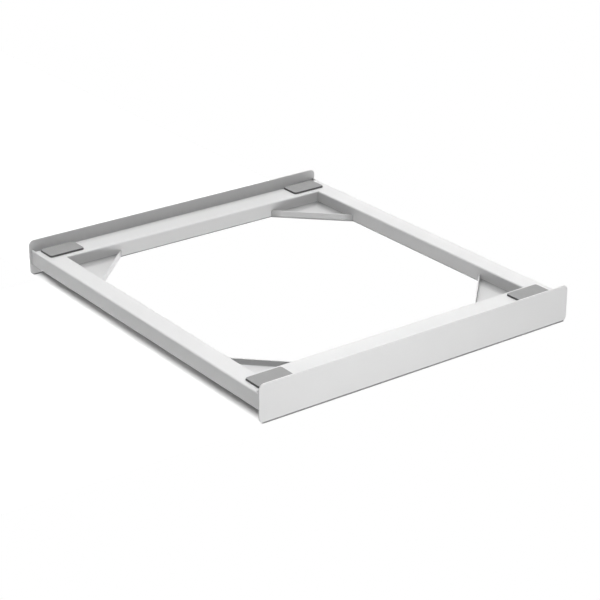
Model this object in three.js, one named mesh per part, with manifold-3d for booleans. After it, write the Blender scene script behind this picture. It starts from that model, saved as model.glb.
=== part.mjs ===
// Washer dryer stacking kit: a welded steel frame that lies between a washing machine and the dryer on top of it.
// Millimetres, +Z up, +X to the right, the front rail on the -Y side.
// The origin is on the ground under the middle of the frame, which stands on its two side plates.

import * as THREE from 'three'
import * as BufferGeometryUtils from 'three/addons/utils/BufferGeometryUtils.js'
import Module from 'manifold-3d'

const wasm = await Module()
wasm.setup()

// Overall size
const overallWidth = 608
const overallDepth = 540

// Heights, from the ground up
const lowerLip = 17
const tubeHeight = 25
const upperLip = 15

// Side plates, flat bars with round corners that stand a little past the rails at both ends
const plateThickness = 2
const plateCornerRadius = 9
const plateOverhang = 3

// Welded tube frame
const railWidth = 31
const beamWidth = 44
const tubeWall = 2
const tubeCornerRadius = 2.5
const sideSlot = 11

// Folded corner gussets
const gussetSheet = 2
const gussetLeg = 95
const gussetLipHeight = 11
const gussetBendRadius = 1
const gussetLift = 1

// Rubber pads on top, that the dryer's feet stand on
const topPadLength = 57.5
const topPadWidth = 33.5
const topPadThickness = 3
const topPadCornerRadius = 3.5
const topPadInset = 8.5
const frontPadSetback = 8.5
const rearPadSetback = 13.5

// Rubber pads underneath, that rest on the washing machine's top
const underPadLength = 48
const underPadWidth = 24
const underPadThickness = 3
const underPadCornerRadius = 3
const underPadSetback = 40

// Clearance of a piece that is cut to fit its neighbour, and the overrun of a cut
const seatGap = 0.3
const cutOverrun = 5

// Facets in a quarter of a round corner
const arcSegments = 10

// Places that follow from the sizes above
const totalHeight = lowerLip + tubeHeight + upperLip
const plateInnerX = overallWidth / 2 - plateThickness
const beamOuterX = plateInnerX - sideSlot
const beamInnerX = beamOuterX - beamWidth
const beamCentreX = (beamOuterX + beamInnerX) / 2
const railOuterY = overallDepth / 2 - plateOverhang
const railInnerY = railOuterY - railWidth
const railCentreY = (railOuterY + railInnerY) / 2
const tubeCentreZ = lowerLip + tubeHeight / 2
const tubeTopZ = lowerLip + tubeHeight

const steelWhite = new THREE.Color(0xf2f2f1)
const rubberGrey = new THREE.Color(0x9b9c9e)

function paintedSteel() {
  return new THREE.MeshStandardMaterial({ color: steelWhite, roughness: 0.4, metalness: 0 })
}

function rubber() {
  return new THREE.MeshStandardMaterial({ color: rubberGrey, roughness: 0.85, metalness: 0 })
}

// A rectangle round the origin, its corners rounded with quarter arcs
function roundedRectangle(width, height, radius, Outline = THREE.Shape) {
  const x = width / 2 - radius
  const y = height / 2 - radius
  const outline = new Outline()
  outline.moveTo(-x, -y - radius)
  outline.absarc(x, -y, radius, -Math.PI / 2, 0)
  outline.absarc(x, y, radius, 0, Math.PI / 2)
  outline.absarc(-x, y, radius, Math.PI / 2, Math.PI)
  outline.absarc(-x, -y, radius, Math.PI, Math.PI * 1.5)
  return outline
}

// An outline pulled straight along local Z, centred on the origin
function extrudeCentred(outline, length) {
  const settings = { depth: length, bevelEnabled: false, curveSegments: arcSegments }
  const geometry = new THREE.ExtrudeGeometry(outline, settings)
  geometry.translate(0, 0, -length / 2)
  return geometry
}

function toSolid(geometry) {
  const bare = geometry.clone()
  bare.deleteAttribute('normal')
  bare.deleteAttribute('uv')
  const merged = BufferGeometryUtils.mergeVertices(bare)
  const vertProperties = new Float32Array(merged.attributes.position.array)
  const triVerts = new Uint32Array(merged.index.array)
  return new wasm.Manifold(new wasm.Mesh({ numProp: 3, vertProperties, triVerts }))
}

function toGeometry(solid) {
  const mesh = solid.getMesh()
  const geometry = new THREE.BufferGeometry()
  geometry.setAttribute('position', new THREE.BufferAttribute(mesh.vertProperties, 3))
  geometry.setIndex(new THREE.BufferAttribute(mesh.triVerts, 1))
  geometry.computeVertexNormals()
  return geometry
}

function subtract(geometry, ...cutters) {
  return toGeometry(cutters.reduce((solid, cutter) => solid.subtract(toSolid(cutter)), toSolid(geometry)))
}

function namedMesh(name, geometry, material) {
  const mesh = new THREE.Mesh(geometry, material)
  mesh.name = name
  return mesh
}

// Rectangular tube along local Z, open at both ends
function tube(width, height, length) {
  const section = roundedRectangle(width, height, tubeCornerRadius)
  const boreRadius = tubeCornerRadius - tubeWall
  section.holes.push(roundedRectangle(width - 2 * tubeWall, height - 2 * tubeWall, boreRadius, THREE.Path))
  return extrudeCentred(section, length)
}

// Rail along X: a tube that spans from plate to plate.
// Over each side slot its top and inner walls are cut away, and the outer and bottom walls are left as a tab
// that is welded to the side plate. The outer face looks to -Y.
function railGeometry() {
  const length = 2 * plateInnerX
  const rail = tube(railWidth, tubeHeight, length)
  rail.rotateX(Math.PI / 2)
  rail.rotateZ(Math.PI / 2)
  const notchLength = sideSlot + cutOverrun
  const notchDepth = railWidth - tubeWall + cutOverrun
  const notchHeight = tubeHeight - tubeWall + cutOverrun
  const notches = [-1, 1].map((side) => {
    const notch = new THREE.BoxGeometry(notchLength, notchDepth, notchHeight)
    const x = side * (beamOuterX + notchLength / 2)
    const y = -railWidth / 2 + tubeWall + notchDepth / 2
    const z = -tubeHeight / 2 + tubeWall + notchHeight / 2
    return notch.translate(x, y, z)
  })
  return subtract(rail, ...notches)
}

// Beam along Y: a wider tube between the rails, coped at both ends over the rails' round edges
function beamGeometry() {
  const length = 2 * (railInnerY + tubeCornerRadius)
  const beam = tube(beamWidth, tubeHeight, length)
  beam.rotateX(Math.PI / 2)
  const cope = roundedRectangle(railWidth + 2 * seatGap, tubeHeight + 2 * seatGap, tubeCornerRadius + seatGap)
  const copes = [-1, 1].map((side) => {
    const cutter = extrudeCentred(cope, beamWidth + 2 * cutOverrun)
    cutter.rotateX(Math.PI / 2)
    cutter.rotateZ(Math.PI / 2)
    return cutter.translate(0, side * railCentreY, 0)
  })
  return subtract(beam, ...copes)
}

function sidePlateGeometry() {
  const plate = extrudeCentred(roundedRectangle(overallDepth, totalHeight, plateCornerRadius), plateThickness)
  plate.rotateX(Math.PI / 2)
  plate.rotateZ(Math.PI / 2)
  return plate
}

// Gusset in the corner between a rail and a beam, with its corner at the origin and its legs along +X and +Y.
// It is one folded sheet: a three-cornered floor with an upturned lip along the long edge.
function gussetGeometry() {
  const reach = gussetLeg / Math.SQRT2
  const outerRadius = gussetBendRadius + gussetSheet
  const section = new THREE.Shape()
  section.moveTo(0, 0)
  section.absarc(reach - outerRadius, outerRadius, outerRadius, -Math.PI / 2, 0)
  section.lineTo(reach, gussetLipHeight)
  section.lineTo(reach - gussetSheet, gussetLipHeight)
  section.absarc(reach - outerRadius, outerRadius, gussetBendRadius, 0, -Math.PI / 2, true)
  section.lineTo(0, gussetSheet)
  const folded = extrudeCentred(section, 2 * (reach + cutOverrun))
  folded.rotateX(Math.PI / 2)
  folded.rotateZ(Math.PI / 4)

  const corner = new THREE.BoxGeometry(gussetLeg, gussetLeg, gussetLipHeight + 2 * cutOverrun)
  corner.translate(gussetLeg / 2 + seatGap, gussetLeg / 2 + seatGap, gussetLipHeight / 2)
  return toGeometry(toSolid(folded).intersect(toSolid(corner)))
}

function padGeometry(length, width, thickness, radius) {
  return extrudeCentred(roundedRectangle(width, length, radius), thickness)
}

const group = new THREE.Group()

// The tube frame, hung at the height of the tubes' centre lines
const frame = new THREE.Group()
frame.position.z = tubeCentreZ
group.add(frame)

const frontRail = namedMesh('front_rail', railGeometry(), paintedSteel())
frontRail.position.y = -railCentreY
const rearRail = namedMesh('rear_rail', railGeometry(), paintedSteel())
rearRail.position.y = railCentreY
rearRail.rotation.z = Math.PI
frame.add(frontRail, rearRail)

for (const [side, sign] of [['left', -1], ['right', 1]]) {
  const beam = namedMesh(`${side}_beam`, beamGeometry(), paintedSteel())
  beam.position.x = sign * beamCentreX
  frame.add(beam)

  const plate = namedMesh(`${side}_side_plate`, sidePlateGeometry(), paintedSteel())
  plate.position.set(sign * (plateInnerX + plateThickness / 2), 0, totalHeight / 2)
  group.add(plate)
}

// What each corner of the frame carries; turn is the gusset's quarter turns from the front left corner
const corners = [
  { name: 'front_left', signX: -1, signY: -1, turn: 0, topSetback: frontPadSetback },
  { name: 'front_right', signX: 1, signY: -1, turn: 1, topSetback: frontPadSetback },
  { name: 'rear_right', signX: 1, signY: 1, turn: 2, topSetback: rearPadSetback },
  { name: 'rear_left', signX: -1, signY: 1, turn: 3, topSetback: rearPadSetback }
]

for (const { name, signX, signY, turn, topSetback } of corners) {
  const gusset = namedMesh(`${name}_gusset`, gussetGeometry(), paintedSteel())
  gusset.position.set(signX * beamInnerX, signY * railInnerY, lowerLip + gussetLift)
  gusset.rotation.z = turn * Math.PI / 2
  group.add(gusset)

  const topPadShape = padGeometry(topPadLength, topPadWidth, topPadThickness, topPadCornerRadius)
  const topPad = namedMesh(`${name}_top_pad`, topPadShape, rubber())
  const topPadX = beamInnerX + topPadInset + topPadWidth / 2
  const topPadY = railOuterY - topSetback - topPadLength / 2
  topPad.position.set(signX * topPadX, signY * topPadY, tubeTopZ + topPadThickness / 2)
  group.add(topPad)

  const underPadShape = padGeometry(underPadLength, underPadWidth, underPadThickness, underPadCornerRadius)
  const underPad = namedMesh(`${name}_under_pad`, underPadShape, rubber())
  const underPadY = railOuterY - underPadSetback - underPadLength / 2
  underPad.position.set(signX * beamCentreX, signY * underPadY, lowerLip - underPadThickness / 2)
  group.add(underPad)
}

export default group
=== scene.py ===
import math

import bmesh
import bpy
from mathutils import Matrix, Vector


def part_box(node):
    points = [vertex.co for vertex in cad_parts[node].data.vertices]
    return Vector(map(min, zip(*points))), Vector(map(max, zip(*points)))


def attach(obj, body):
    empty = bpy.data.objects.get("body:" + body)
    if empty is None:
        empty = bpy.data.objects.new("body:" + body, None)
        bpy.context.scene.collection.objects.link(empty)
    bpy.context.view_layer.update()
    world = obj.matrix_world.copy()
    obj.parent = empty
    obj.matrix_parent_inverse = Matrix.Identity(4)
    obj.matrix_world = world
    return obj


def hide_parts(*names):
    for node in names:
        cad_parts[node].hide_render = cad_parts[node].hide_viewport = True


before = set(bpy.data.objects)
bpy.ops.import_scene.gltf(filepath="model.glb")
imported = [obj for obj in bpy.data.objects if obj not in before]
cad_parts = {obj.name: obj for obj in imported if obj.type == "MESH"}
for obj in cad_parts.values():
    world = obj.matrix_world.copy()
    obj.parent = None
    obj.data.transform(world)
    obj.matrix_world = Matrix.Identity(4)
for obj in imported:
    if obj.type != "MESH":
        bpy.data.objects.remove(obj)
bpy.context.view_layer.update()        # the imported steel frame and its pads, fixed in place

mm = 0.001
boxes = {name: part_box(name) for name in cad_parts}

# the faces of the right beam and of the rear rail; those on the left and in front mirror them
beamInner, beamOuter = (corner.x for corner in boxes["right_beam"])
railInner, railOuter = (corner.y for corner in boxes["rear_rail"])
tubeBottom, tubeTop = (corner.z for corner in boxes["rear_rail"])
print("frame loaded:", len(boxes), "nodes")


# colours are picked in sRGB and turned to linear here
def hexToLinear(hexColour):
    values = [int(hexColour[i:i + 2], 16) / 255 for i in (1, 3, 5)]
    linear = [v / 12.92 if v <= 0.04045 else ((v + 0.055) / 1.055) ** 2.4 for v in values]
    return (*linear, 1)


# one node with its settings, and its inputs as values or as outputs of other nodes
def addNode(tree, kind, settings=None, inputs=None):
    node = tree.nodes.new(kind)
    for name, value in (settings or {}).items():
        setattr(node, name, value)
    for name, value in (inputs or {}).items():
        if isinstance(value, bpy.types.NodeSocket):
            tree.links.new(value, node.inputs[name])
        else:
            node.inputs[name].default_value = value
    return node


def newMaterial(name):
    material = bpy.data.materials.new(name)
    material.use_nodes = True
    material.node_tree.nodes.clear()
    return material, material.node_tree


# Powder coat on steel: a sprayed polyester powder that melts to a semi-gloss skin.
# The melt leaves a faint orange peel, and the film is a touch uneven over a hand's width.
# Along bottom edges and where steel stands close to steel the colour is darkened: painted shade, a
# dark line and a soft shade.
powderCoat = {
    "colour": "#F0F0F0",
    "colourUneven": "#EBEBEB",
    "roughness": 0.42,
    "ior": 1.5,
    "cloudSize": 70 * mm,
    "peelSize": 2.2 * mm,         # real peel is finer, drawn coarser so that it shows
    "peelHeight": 0.012 * mm,
    # painted shade: the dark greys of the line along the bottom edges of plates, rear rail and
    # beams
    "plateFootPaintedShade": "#7C7C7C",
    "railFootPaintedShade": "#747474",
    "beamFootPaintedShade": "#5C5C5C",
    "footHeight": 2.2 * mm,
    "footShadeFade": 0.8 * mm,
    "underFacing": -0.98,         # the normal's Z up to which a face counts as an underside
    "rimFacing": -0.9,            # and from which it takes all of the foot's colour
    # painted shade: a soft grey in the gussets' inner corners and on the beams' tops beside the
    # plates
    "innerCornerPaintedShade": "#BEBEBE",
    "besidePlatePaintedShade": "#D4D4D4",
    "besidePlateInset": 2 * mm,   # from the beam's outer face
    "paintedShadeReach": 12 * mm,
}


# The lowest two millimetres above the steel's bottom take the foot's colour, a painted shade that
# draws a dark line; its underside doesn't.
# Beside each wall, given as an axis and a distance from the middle, the coat takes a painted shade
# colour.
def powderCoatedSteel(name, bottom=0, footShadeColour=None, walls=(), paintedShadeColour=None):
    material, tree = newMaterial(name)
    place = addNode(tree, "ShaderNodeTexCoord").outputs["Object"]
    cloud = addNode(tree, "ShaderNodeTexNoise", None, {
        "Vector": place, "Scale": 1 / powderCoat["cloudSize"], "Detail": 3})
    tone = addNode(tree, "ShaderNodeMix", {"data_type": "RGBA"}, {
        "Factor": cloud.outputs["Fac"],
        "A": hexToLinear(powderCoat["colour"]), "B": hexToLinear(powderCoat["colourUneven"])})
    if footShadeColour or walls:
        axes = addNode(tree, "ShaderNodeSeparateXYZ", None, {"Vector": place})
    # painted shade: a dark line on the side faces just above the bottom
    if footShadeColour:
        footTop, fade = bottom + powderCoat["footHeight"], powderCoat["footShadeFade"] / 2
        low = addNode(tree, "ShaderNodeMapRange", None, {
            "Value": axes.outputs["Z"], "From Min": footTop + fade, "From Max": footTop - fade})
        normal = addNode(tree, "ShaderNodeNewGeometry").outputs["Normal"]
        facing = addNode(tree, "ShaderNodeSeparateXYZ", None, {"Vector": normal})
        aside = addNode(tree, "ShaderNodeMapRange", None, {
            "Value": facing.outputs["Z"],
            "From Min": powderCoat["underFacing"], "From Max": powderCoat["rimFacing"]})
        foot = addNode(tree, "ShaderNodeMath", {"operation": "MULTIPLY"}, {
            0: low.outputs[0], 1: aside.outputs[0]})
        tone = addNode(tree, "ShaderNodeMix", {"data_type": "RGBA"}, {
            "Factor": foot.outputs[0],
            "A": tone.outputs["Result"], "B": hexToLinear(footShadeColour)})
    # painted shade: the colour greys towards each wall
    if walls:
        gap = powderCoat["paintedShadeReach"]
        for axis, wall in walls:
            fromMiddle = addNode(tree, "ShaderNodeMath", {"operation": "ABSOLUTE"}, {
                0: axes.outputs[axis]})
            fromWall = addNode(tree, "ShaderNodeMath", {"operation": "SUBTRACT"}, {
                0: wall, 1: fromMiddle.outputs[0]})
            gap = addNode(tree, "ShaderNodeMath", {"operation": "MINIMUM"}, {
                0: gap, 1: fromWall.outputs[0]}).outputs[0]
        unshaded = addNode(tree, "ShaderNodeMapRange", None, {
            "Value": gap, "From Min": 0, "From Max": powderCoat["paintedShadeReach"]})
        tone = addNode(tree, "ShaderNodeMix", {"data_type": "RGBA"}, {
            "Factor": unshaded.outputs[0],
            "A": hexToLinear(paintedShadeColour), "B": tone.outputs["Result"]})
    peel = addNode(tree, "ShaderNodeTexNoise", None, {
        "Vector": place, "Scale": 1 / powderCoat["peelSize"], "Detail": 2})
    bump = addNode(tree, "ShaderNodeBump", None, {
        "Height": peel.outputs["Fac"], "Distance": powderCoat["peelHeight"]})
    shader = addNode(tree, "ShaderNodeBsdfPrincipled", None, {
        "Base Color": tone.outputs["Result"], "Roughness": powderCoat["roughness"],
        "IOR": powderCoat["ior"], "Normal": bump.outputs["Normal"]})
    addNode(tree, "ShaderNodeOutputMaterial", None, {"Surface": shader.outputs["BSDF"]})
    return material


# Rubber sheet, calendered and die cut: matt, mid grey, with a fine grain from the rolls
rubberSheet = {
    "colour": "#9F9F9F",
    "colourDusty": "#AAAAAA",
    # painted shade: the dark grey of the pads' cut sides
    "edgePaintedShade": "#5A5A5A",
    "edgePaintedShadeDusty": "#666666",
    "roughness": 0.78,
    "ior": 1.52,
    "dustSize": 14 * mm,
    "grainSize": 0.9 * mm,
    "grainHeight": 0.05 * mm,
}


# the skin is the sheet's own face; the cut edge takes a much darker grey, which is painted shade
def calenderedRubber(name, colour, colourDusty):
    material, tree = newMaterial(name)
    place = addNode(tree, "ShaderNodeTexCoord").outputs["Object"]
    dust = addNode(tree, "ShaderNodeTexNoise", None, {
        "Vector": place, "Scale": 1 / rubberSheet["dustSize"], "Detail": 4})
    tone = addNode(tree, "ShaderNodeMix", {"data_type": "RGBA"}, {
        "Factor": dust.outputs["Fac"],
        "A": hexToLinear(rubberSheet[colour]), "B": hexToLinear(rubberSheet[colourDusty])})
    grain = addNode(tree, "ShaderNodeTexNoise", None, {
        "Vector": place, "Scale": 1 / rubberSheet["grainSize"], "Detail": 3})
    bump = addNode(tree, "ShaderNodeBump", None, {
        "Height": grain.outputs["Fac"], "Distance": rubberSheet["grainHeight"]})
    shader = addNode(tree, "ShaderNodeBsdfPrincipled", None, {
        "Base Color": tone.outputs["Result"], "Roughness": rubberSheet["roughness"],
        "IOR": rubberSheet["ior"], "Normal": bump.outputs["Normal"]})
    addNode(tree, "ShaderNodeOutputMaterial", None, {"Surface": shader.outputs["BSDF"]})
    return material


paint = powderCoatedSteel("powder_coated_steel")
# the plate and rail coats carry a painted shade line along their bottoms, the beam coat too
plateCoatPaintedShade = powderCoatedSteel("powder_coated_plate_painted_shade", 0, powderCoat["plateFootPaintedShade"])
railCoatPaintedShade = powderCoatedSteel("powder_coated_rail_painted_shade", tubeBottom, powderCoat["railFootPaintedShade"])
# the corner and beam coats grey towards their walls: painted shade
cornerCoatPaintedShade = powderCoatedSteel(
    "powder_coated_corner_painted_shade", walls=(("X", beamInner), ("Y", railInner)),
    paintedShadeColour=powderCoat["innerCornerPaintedShade"])
beamCoatPaintedShade = powderCoatedSteel(
    "powder_coated_beam_painted_shade", tubeBottom, powderCoat["beamFootPaintedShade"],
    walls=(("X", beamOuter - powderCoat["besidePlateInset"]),),
    paintedShadeColour=powderCoat["besidePlatePaintedShade"])
rubberSkin = calenderedRubber("calendered_rubber", "colour", "colourDusty")
# the cut sides take a painted shade
rubberEdgePaintedShade = calenderedRubber("die_cut_rubber_edge_painted_shade", "edgePaintedShade", "edgePaintedShadeDusty")
print("materials made")


# The welded steel pieces keep their solids; the paint rounds every cut edge a little
paintedEdges = {
    "weldDistance": 0.001 * mm,
    "flatAngle": 1,
    "sharpAngle": 25,
    "radius": 0.4 * mm,
    "plateRadius": 0.9 * mm,
    "segments": 4,
}


def dressSteel(node, coat, radius):
    node.data.materials.clear()
    node.data.materials.append(coat)
    weld = node.modifiers.new("weld", "WELD")
    weld.merge_threshold = paintedEdges["weldDistance"]
    flatten = node.modifiers.new("flatten", "DECIMATE")
    flatten.decimate_type = "DISSOLVE"
    flatten.angle_limit = math.radians(paintedEdges["flatAngle"])
    edge = node.modifiers.new("edge", "BEVEL")
    edge.limit_method = "ANGLE"
    edge.angle_limit = math.radians(paintedEdges["sharpAngle"])
    edge.width = radius
    edge.segments = paintedEdges["segments"]
    edge.harden_normals = True


# the front rail has no painted dark line along its bottom: the shadow on the table lies there
for name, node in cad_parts.items():
    if name.endswith("_plate"):
        dressSteel(node, plateCoatPaintedShade, paintedEdges["plateRadius"])
    elif name.endswith("_gusset"):
        dressSteel(node, cornerCoatPaintedShade, paintedEdges["radius"])
    elif name.endswith("_beam"):
        dressSteel(node, beamCoatPaintedShade, paintedEdges["radius"])
    elif name.endswith("_rail"):
        dressSteel(node, railCoatPaintedShade if name == "rear_rail" else paint, paintedEdges["radius"])
print("steel dressed")

creaseAngle = math.radians(38)    # faces that meet more steeply keep a sharp edge


# one mesh from points and faces; edgeFaces are the faces that take the second material
def addPiece(name, points, faces, materials, edgeFaces=()):
    mesh = bpy.data.meshes.new(name)
    mesh.from_pydata(points, [], faces)
    for material in materials:
        mesh.materials.append(material)
    for index in edgeFaces:
        mesh.polygons[index].material_index = 1
    piece = bpy.data.objects.new(name, mesh)
    bpy.context.scene.collection.objects.link(piece)
    shape = bmesh.new()
    shape.from_mesh(mesh)
    bmesh.ops.recalc_face_normals(shape, faces=shape.faces)
    shape.to_mesh(mesh)
    shape.free()
    mesh.shade_smooth()
    mesh.set_sharp_from_angle(angle=creaseAngle)
    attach(piece, "root")
    return piece


# faces between rings of count points each that follow one another, closed at both ends
def ringFaces(rings, count):
    faces = []
    for ring in range(rings - 1):
        for step in range(count):
            onward = (step + 1) % count
            faces.append((ring * count + step, ring * count + onward,
                          (ring + 1) * count + onward, (ring + 1) * count + step))
    return faces + [tuple(range(count)), tuple(range((rings - 1) * count, rings * count))]


# Rubber pads, die cut from sheet and stuck down on a film of adhesive that stops short of the edge.
# Each is drawn as rings round the outline: (inset from the outline, height above the steel).
pad = {
    "cornerRadius": {"top": 3.5 * mm, "under": 3 * mm},
    "leastRadius": 0.5 * mm,
    "cornerSteps": 10,
    "sideSteps": 6,
    "footFlare": 0.5 * mm,        # the sheet spreads where it is pressed down
    "footHeight": 0.5 * mm,
    "footRings": (0.2, 0.5),      # in shares of the foot's height
    "waist": 0.12 * mm,           # the die pulls the middle of the cut edge in
    "waistSteps": 5,
    "rimRadius": 0.45 * mm,
    "rimSteps": 5,
    "faceInset": 1 * mm,          # of the last ring, from the rim
    "skinStrips": 3,              # the strips at the rim that show the sheet's own face
    "filmHeight": 0.15 * mm,
    "filmInset": 0.4 * mm,
}


# points of a rounded rectangle, its straight sides divided too
def roundedOutline(middle, half, radius):
    cornerSteps, sideSteps = pad["cornerSteps"], pad["sideSteps"]
    corners = []
    for number, (sx, sy) in enumerate(((1, 1), (-1, 1), (-1, -1), (1, -1))):
        centre = Vector((middle.x + sx * (half.x - radius), middle.y + sy * (half.y - radius)))
        turns = [math.radians(90 * (number + step / cornerSteps))
                 for step in range(cornerSteps + 1)]
        corners.append([centre + radius * Vector((math.cos(turn), math.sin(turn)))
                        for turn in turns])
    outline = []
    for corner, following in zip(corners, corners[1:] + corners[:1]):
        outline += corner
        outline += [corner[-1].lerp(following[0], step / sideSteps) for step in range(1, sideSteps)]
    return outline


# rings stacked from the steel outwards; with a second material, all but the skin strips take it
def ringedSlab(name, box, rings, radius, outwards, materials, skinStrips):
    low, high = box
    middle, half = (low + high) / 2, (high - low) / 2
    steel = low.z if outwards > 0 else high.z
    points = []
    for inset, height in rings:
        inner = Vector((half.x - inset, half.y - inset))
        outline = roundedOutline(middle, inner, max(radius - inset, pad["leastRadius"]))
        points += [(p.x, p.y, steel + outwards * height) for p in outline]
    count = len(points) // len(rings)
    cutStrips = len(rings) - 1 - skinStrips if len(materials) > 1 else 0
    return addPiece(name, points, ringFaces(len(rings), count), materials,
                    range(cutStrips * count))


def makePad(node):
    kind = "top" if "_top_" in node else "under"
    outwards = 1 if kind == "top" else -1
    box = boxes[node]
    thickness = box[1].z - box[0].z
    film, foot, rim = pad["filmHeight"], pad["footHeight"], pad["rimRadius"]
    rings = [(0, film)] + [(-pad["footFlare"], film + foot * share) for share in pad["footRings"]]
    for step in range(pad["waistSteps"] + 1):
        t = step / pad["waistSteps"]
        rings.append((pad["waist"] * math.sin(math.pi * t) - pad["footFlare"] * (1 - t) ** 3,
                      film + foot + (thickness - rim - film - foot) * t))
    for step in range(1, pad["rimSteps"] + 1):
        turn = math.pi / 2 * step / pad["rimSteps"]
        rings.append((rim * (1 - math.cos(turn)), thickness - rim + rim * math.sin(turn)))
    rings.append((rim + pad["faceInset"], thickness))
    radius = pad["cornerRadius"][kind]
    body = ringedSlab(node + "_rubber", box, rings, radius, outwards,
                      (rubberSkin, rubberEdgePaintedShade), pad["skinStrips"])
    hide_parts(node)
    filmRings = [(pad["filmInset"], 0), (pad["filmInset"], film)]
    ringedSlab(node + "_film", box, filmRings, radius, outwards, (rubberEdgePaintedShade,), 0)


for name in boxes:
    if name.endswith("_pad"):
        makePad(name)
print("pads made")


# Weld seams under the paint: concave fillets with the ripples that the weld pool leaves behind.
# On top the seams between rail and beam are ground flush, so that the pads lie flat.
seam = {
    "cornerLeg": 1.3 * mm,
    "cornerRadius": 2.5 * mm,     # of the tubes' own edges
    "gussetLeg": 4.4 * mm,
    "tabLeg": 1.2 * mm,
    "toePhase": 0.15,             # the ripples fade towards a fillet's toes
    "beadWidth": 4.6 * mm,
    "beadHeight": 0.9 * mm,
    "beadSink": 0.15 * mm,
    "flushHalf": 1.45 * mm,
    "flushCrown": 0.05 * mm,
    "flushSink": 0.06 * mm,
    "rootDepth": 0.35 * mm,       # below the steel's face, of a bead or a flush seam
    "ripple": 1.9 * mm,
    "rippleDepth": 0.11 * mm,
    "rippleBow": 0.9 * mm,
    "sway": 0.16 * mm,
    "swayLengths": (5.3 * mm, 13 * mm),
    "taperStart": 0.35,
    "taperLength": 2.5 * mm,
    "step": 0.38 * mm,
    "arcSteps": 6,
    "jointMiddle": 1.87 * mm,     # of the joint between rail and beam, from the rail's inner face
    "flushEnd": 1.5 * mm,         # how far each seam stops short of the tube's or leg's end
    "beadEnd": 0.5 * mm,
    "gussetEnd": 3 * mm,
    "gussetStart": 1.8 * mm,      # and how far it runs on into the steel of the inner corner
    "gussetSheet": 2 * mm,
    # the rail's ends reach the side plates as tabs
    "plateEnd": 1 * mm,
    "tabOuterEnd": 3 * mm,
    "tabInnerEnd": 2 * mm,
}


# A profile of (u, v) points swept from start to end. shape(along, t, taper) gives the point at t of
# the profile's width, and closing is the point inside the steel that closes the profile.
def sweep(start, end, u, v, shape, closing):
    run = end - start
    runs = max(2, round(run.length / seam["step"]))
    points = []
    for ring in range(runs + 1):
        along = run.length * ring / runs
        # the bead tapers at its ends, where the pool starts and freezes
        taper = min(1, seam["taperStart"] + min(along, run.length - along) / seam["taperLength"])
        profile = [shape(along, step / seam["arcSteps"], taper)
                   for step in range(seam["arcSteps"] + 1)]
        profile.append(closing)
        points += [start + run * ring / runs + u * pu + v * pv for pu, pv in profile]
    return points, ringFaces(runs + 1, seam["arcSteps"] + 2)


# ripples trail behind the pool as bows, and the leg sways with the hand
def ripples(along, t):
    bow = seam["rippleBow"] * (1 - (2 * t - 1) ** 2)
    wave = math.sin(2 * math.pi * (along + bow) / seam["ripple"])
    short, long = seam["swayLengths"]
    sway = seam["sway"] * math.sin(along / short) * math.sin(along / long + 1)
    return seam["rippleDepth"] * wave + sway


def filletShape(leg):
    toe = seam["toePhase"]

    def shape(along, t, taper):
        rippled = ripples(along, t) * math.sin(math.pi * (toe + (1 - 2 * toe) * t))
        reach = (leg + rippled) * taper
        turn = math.pi / 2 * t
        return reach * (1 - math.sin(turn)), reach * (1 - math.cos(turn))
    return shape


# in the corner between two tubes the fillet follows their round edges at the top and at the bottom,
# and keeps its full leg to both ends
def cornerShape(height):
    fillet = filletShape(seam["cornerLeg"])
    radius = seam["cornerRadius"]

    def shape(along, t, taper):
        rise = max(0, radius - min(along, height - along))
        back = radius - math.sqrt(max(0, radius ** 2 - rise ** 2))
        across, out = fillet(along, t, 1)
        return across - back, out - back
    return shape


def beadShape(along, t, taper):
    across = 2 * t - 1
    height = (seam["beadHeight"] + ripples(along, t)) * taper * math.sin(math.pi * t)
    return seam["beadWidth"] / 2 * taper * across, max(height, 0) - seam["beadSink"] * abs(across)


def flushShape(along, t, taper):
    across = 2 * t - 1
    crown, sink = seam["flushCrown"], seam["flushSink"]
    return seam["flushHalf"] * across, crown - (crown + sink) * across ** 2


# several sweeps joined in one piece
def addSeam(name, coat, runs):
    points, faces = [], []
    for start, end, u, v, shape, closing in runs:
        morePoints, moreFaces = sweep(
            Vector(start), Vector(end), Vector(u), Vector(v), shape, closing)
        faces += [tuple(i + len(points) for i in face) for face in moreFaces]
        points += morePoints
    addPiece(name, points, faces, (coat,))


gussetBox = boxes["rear_right_gusset"]
gussetTop = gussetBox[0].z + seam["gussetSheet"]
gussetEndX = gussetBox[0].x + seam["gussetEnd"]
gussetEndY = gussetBox[0].y + seam["gussetEnd"]
plateInner = boxes["right_side_plate"][0].x
root = (0, -seam["rootDepth"])
cornerRoot = (-seam["cornerRadius"], -seam["cornerRadius"])
alongY, down, up = (0, 1, 0), (0, 0, -1), (0, 0, 1)

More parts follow.
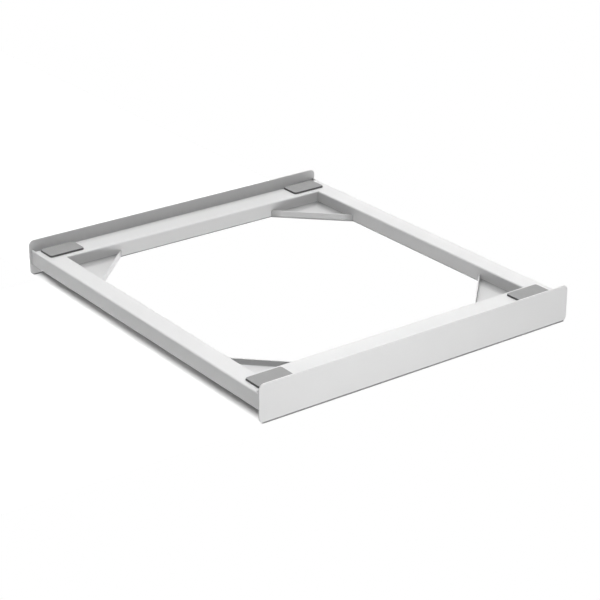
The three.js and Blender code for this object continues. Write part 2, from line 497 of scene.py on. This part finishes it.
for front, sy in (("front", -1), ("rear", 1)):
    for side, sx in (("left", -1), ("right", 1)):
        corner = front + "_" + side
        inX, inY, outY = (-sx, 0, 0), (0, -sy, 0), (0, sy, 0)
        innerX, innerY, outerY = sx * beamInner, sy * railInner, sy * railOuter
        jointY, plateX = sy * (railInner + seam["jointMiddle"]), sx * plateInner
        addSeam(corner + "_beam_weld", paint, [
            ((sx * (beamInner + seam["flushEnd"]), jointY, tubeTop),
             (sx * (beamOuter - seam["flushEnd"]), jointY, tubeTop),
             alongY, up, flushShape, root),
            ((sx * (beamInner + seam["beadEnd"]), jointY, tubeBottom),
             (sx * (beamOuter - seam["beadEnd"]), jointY, tubeBottom),
             alongY, down, beadShape, root),
            ((innerX, innerY, tubeBottom), (innerX, innerY, tubeTop),
             inX, inY, cornerShape(tubeTop - tubeBottom), cornerRoot),
        ])
        addSeam(corner + "_gusset_weld", cornerCoatPaintedShade, [
            ((sx * gussetEndX, innerY, gussetTop),
             (sx * (beamInner + seam["gussetStart"]), innerY, gussetTop),
             inY, up, filletShape(seam["gussetLeg"]), (0, 0)),
            ((innerX, sy * gussetEndY, gussetTop),
             (innerX, sy * (railInner + seam["gussetStart"]), gussetTop),
             inX, up, filletShape(seam["gussetLeg"]), (0, 0)),
        ])
        addSeam(corner + "_plate_weld", paint, [
            ((plateX, outerY, tubeBottom + seam["plateEnd"]),
             (plateX, outerY, tubeTop - seam["plateEnd"]),
             inX, outY, filletShape(seam["tabLeg"]), (0, 0)),
            ((plateX, outerY - sy * seam["tabOuterEnd"], tubeBottom),
             (plateX, innerY + sy * seam["tabInnerEnd"], tubeBottom),
             inX, down, filletShape(seam["tabLeg"]), (0, 0)),
        ])
print("seams made")


# A lit glass table: lamps below light the object through it. It takes the shadow in front of the
# frame and under its pieces. Inside the frame, on its right and behind it the table is clear white.
table = {
    "size": 12,                      # metres
    "colour": "#C0C0C0",
    "glow": 0.097,                   # the lit glass shows a little in the shadow
    # edges of the white inside the frame
    "left": -285.5 * mm,
    "right": 290 * mm,
    "front": -231 * mm,
    "rear": 265.5 * mm,
    "rearLeftCorner": 452 * mm,      # of y - x, along the rear left gusset's lip
    # where the white outside the frame begins
    "outside": 304.4 * mm,
    "behind": 267 * mm,
    "fade": 1.2 * mm,
    # under the front rail: from where to where the white grows, and its share at the end
    "leftEnd": (-256 * mm, -280 * mm, 1),
    "rightEnd": (190 * mm, 290 * mm, 0.5),
    "underRail": (-250.5 * mm, -271.5 * mm, 1),
}


def makeTable():
    bpy.ops.mesh.primitive_plane_add(size=table["size"], location=(0, 0, 0))
    floor = bpy.context.object
    floor.name = "table_top"
    material, tree = newMaterial("white_table")
    place = addNode(tree, "ShaderNodeNewGeometry")
    axes = addNode(tree, "ShaderNodeSeparateXYZ", None, {"Vector": place.outputs["Position"]})
    x, y = axes.outputs["X"], axes.outputs["Y"]
    slant = addNode(tree, "ShaderNodeMath", {"operation": "SUBTRACT"}, {0: y, 1: x}).outputs[0]
    fade = table["fade"] / 2

    # the white inside the frame ends at every one of its edges, that outside begins at either
    inside = 1
    for edge, value, sign, join in (
            ("left", x, 1, "MULTIPLY"), ("right", x, -1, "MULTIPLY"),
            ("front", y, 1, "MULTIPLY"), ("rear", y, -1, "MULTIPLY"),
            ("rearLeftCorner", slant, -1, "MULTIPLY"),
            ("outside", x, 1, "MAXIMUM"), ("behind", y, 1, "MAXIMUM")):
        past = addNode(tree, "ShaderNodeMapRange", None, {
            "Value": value,
            "From Min": table[edge] - sign * fade, "From Max": table[edge] + sign * fade})
        inside = addNode(tree, "ShaderNodeMath", {"operation": join}, {
            0: inside, 1: past.outputs[0]}).outputs[0]
    # under the front rail the shadow grows lighter towards both plates
    grown = []
    for value, edge in ((x, "leftEnd"), (x, "rightEnd"), (y, "underRail")):
        start, end, share = table[edge]
        grown.append(addNode(tree, "ShaderNodeMapRange", None, {
            "Value": value, "From Min": start, "From Max": end, "To Max": share}).outputs[0])
    ends = addNode(tree, "ShaderNodeMath", {"operation": "MAXIMUM"}, {0: grown[0], 1: grown[1]})
    lighter = addNode(tree, "ShaderNodeMath", {"operation": "MULTIPLY"}, {
        0: ends.outputs[0], 1: grown[2]})
    clearWhite = addNode(tree, "ShaderNodeMath", {"operation": "MAXIMUM"}, {
        0: inside, 1: lighter.outputs[0]})
    glass = addNode(tree, "ShaderNodeBsdfDiffuse", None, {"Color": hexToLinear(table["colour"])})
    glow = addNode(tree, "ShaderNodeEmission", None, {
        "Color": (1, 1, 1, 1), "Strength": table["glow"]})
    shaded = addNode(tree, "ShaderNodeAddShader", None, {
        0: glass.outputs["BSDF"], 1: glow.outputs["Emission"]})
    white = addNode(tree, "ShaderNodeEmission", None, {"Color": (1, 1, 1, 1), "Strength": 1})
    top = addNode(tree, "ShaderNodeMixShader", None, {
        0: clearWhite.outputs[0], 1: shaded.outputs[0], 2: white.outputs["Emission"]})
    clear = addNode(tree, "ShaderNodeBsdfTransparent")
    both = addNode(tree, "ShaderNodeMixShader", None, {
        0: place.outputs["Backfacing"], 1: top.outputs[0], 2: clear.outputs["BSDF"]})
    addNode(tree, "ShaderNodeOutputMaterial", None, {"Surface": both.outputs[0]})
    floor.data.materials.append(material)
    floor.visible_diffuse = False
    floor.visible_glossy = False
    floor.visible_shadow = False
    return floor


floor = makeTable()
print("table made")


# Camera, matched to the photograph. Angles are in degrees, lengths in metres, and the lens and the
# sensor in millimetres.
camera = {
    "azimuth": 53.745,
    "elevation": 23.903,
    "roll": -0.135,
    "distance": 2.6793,
    "aimRight": 0.01438,
    "aimDown": 0.00398,
    "lens": 108.25,
    "sensor": 36,
    "clip": (0.1, 50),
}


def makeCamera():
    azimuth, elevation, roll = (math.radians(camera[k]) for k in ("azimuth", "elevation", "roll"))
    back = Vector((math.sin(azimuth) * math.cos(elevation),
                   -math.cos(azimuth) * math.cos(elevation), math.sin(elevation)))
    level = Vector((math.cos(azimuth), math.sin(azimuth), 0))
    upright = back.cross(level)
    right = math.cos(roll) * level + math.sin(roll) * upright
    up = back.cross(right)
    data = bpy.data.cameras.new("camera")
    data.sensor_width = camera["sensor"]
    data.lens = camera["lens"]
    data.clip_start, data.clip_end = camera["clip"]
    made = bpy.data.objects.new("camera", data)
    bpy.context.scene.collection.objects.link(made)
    made.rotation_mode = "QUATERNION"
    made.rotation_quaternion = Matrix((right, up, back)).transposed().to_quaternion()
    made.location = back * camera["distance"] + right * camera["aimRight"] - up * camera["aimDown"]
    bpy.context.scene.camera = made


makeCamera()
print("camera placed")


# Studio light: wide soft boxes round the object, a near globe, and one lamp that reaches only the
# table. Azimuth runs anticlockwise from +X, elevation is up from level, and half is the half width
# of a soft box, in degrees. Brightness is the light's own: with a brightness of 1 all round, a
# colour would show as it is written. Distance and radius are in metres.
studio = {
    "softBoxes": {
        "overhead": {"azimuth": 0, "elevation": 88, "half": 40, "brightness": 0.778},
        "high_right": {"azimuth": 19, "elevation": 63, "half": 42.5, "brightness": 0.826},
        "high_front": {"azimuth": 270, "elevation": 62, "half": 20, "brightness": 0.941},
        "front": {"azimuth": 270, "elevation": 5, "half": 20, "brightness": 0.601},
        "left_front": {"azimuth": 225, "elevation": 35, "half": 20, "brightness": 1.079},
        "low_right": {"azimuth": 1.7, "elevation": -28.7, "half": 38, "brightness": 0.803},
        "low_left": {"azimuth": 180, "elevation": -28, "half": 25, "brightness": 0.9},
        "rear_left": {"azimuth": 135, "elevation": 5, "half": 20, "brightness": 1.223},
        "rear_low": {"azimuth": 85, "elevation": -14, "half": 18, "brightness": 2.696},
        "below": {"azimuth": 0, "elevation": -88, "half": 70, "brightness": 0.176},
    },
    "globe": {"azimuth": 349.5, "elevation": 20, "distance": 0.7, "radius": 0.32,
              "brightness": 0.613},
    "tableLamp": {"azimuth": 270, "elevation": 67.5, "half": 21, "brightness": 12.6},
}


def towards(azimuth, elevation):
    a, e = math.radians(azimuth), math.radians(elevation)
    return Vector((math.cos(e) * math.cos(a), math.cos(e) * math.sin(a), math.sin(e)))


# a lamp that lights what it reaches, without light that bounces on from there
def addLamp(name, kind, energy):
    data = bpy.data.lights.new(name, kind)
    data.energy = energy
    data.cycles.max_bounces = 0
    data.cycles.use_multiple_importance_sampling = False
    lamp = bpy.data.objects.new(name, data)
    lamp.visible_camera = False
    bpy.context.scene.collection.objects.link(lamp)
    return lamp


def addSoftBox(name, box):
    half = math.radians(box["half"])
    lamp = addLamp(name, "SUN", math.pi * box["brightness"] * math.sin(half) ** 2)
    lamp.data.angle = 2 * half
    lamp.rotation_mode = "QUATERNION"
    lamp.rotation_quaternion = towards(box["azimuth"], box["elevation"]).to_track_quat("Z", "Y")
    return lamp


# the backdrop is white to the camera and in reflections, and lights nothing
def makeBackdrop():
    world = bpy.data.worlds.new("studio")
    bpy.context.scene.world = world
    world.use_nodes = True
    tree = world.node_tree
    tree.nodes.clear()
    path = addNode(tree, "ShaderNodeLightPath")
    seen = addNode(tree, "ShaderNodeMath", {"operation": "MAXIMUM"}, {
        0: path.outputs["Is Camera Ray"], 1: path.outputs["Is Glossy Ray"]})
    white = addNode(tree, "ShaderNodeMath", {"operation": "MAXIMUM"}, {
        0: seen.outputs[0], 1: path.outputs["Is Transmission Ray"]})
    backdrop = addNode(tree, "ShaderNodeBackground", None, {
        "Color": (1, 1, 1, 1), "Strength": white.outputs[0]})
    addNode(tree, "ShaderNodeOutputWorld", None, {"Surface": backdrop.outputs[0]})


def makeLight():
    for name, box in studio["softBoxes"].items():
        addSoftBox(name, box)
    globe = studio["globe"]
    energy = 4 * math.pi ** 2 * globe["radius"] ** 2 * globe["brightness"]
    lamp = addLamp("globe", "POINT", energy)
    lamp.data.shadow_soft_size = globe["radius"]
    lamp.location = towards(globe["azimuth"], globe["elevation"]) * globe["distance"]
    tableLamp = addSoftBox("table_lamp", studio["tableLamp"])
    onlyTable = bpy.data.collections.new("table_only")
    onlyTable.objects.link(floor)
    tableLamp.light_linking.receiver_collection = onlyTable


makeBackdrop()
makeLight()
bpy.context.scene.view_settings.view_transform = "Standard"
print("light set")
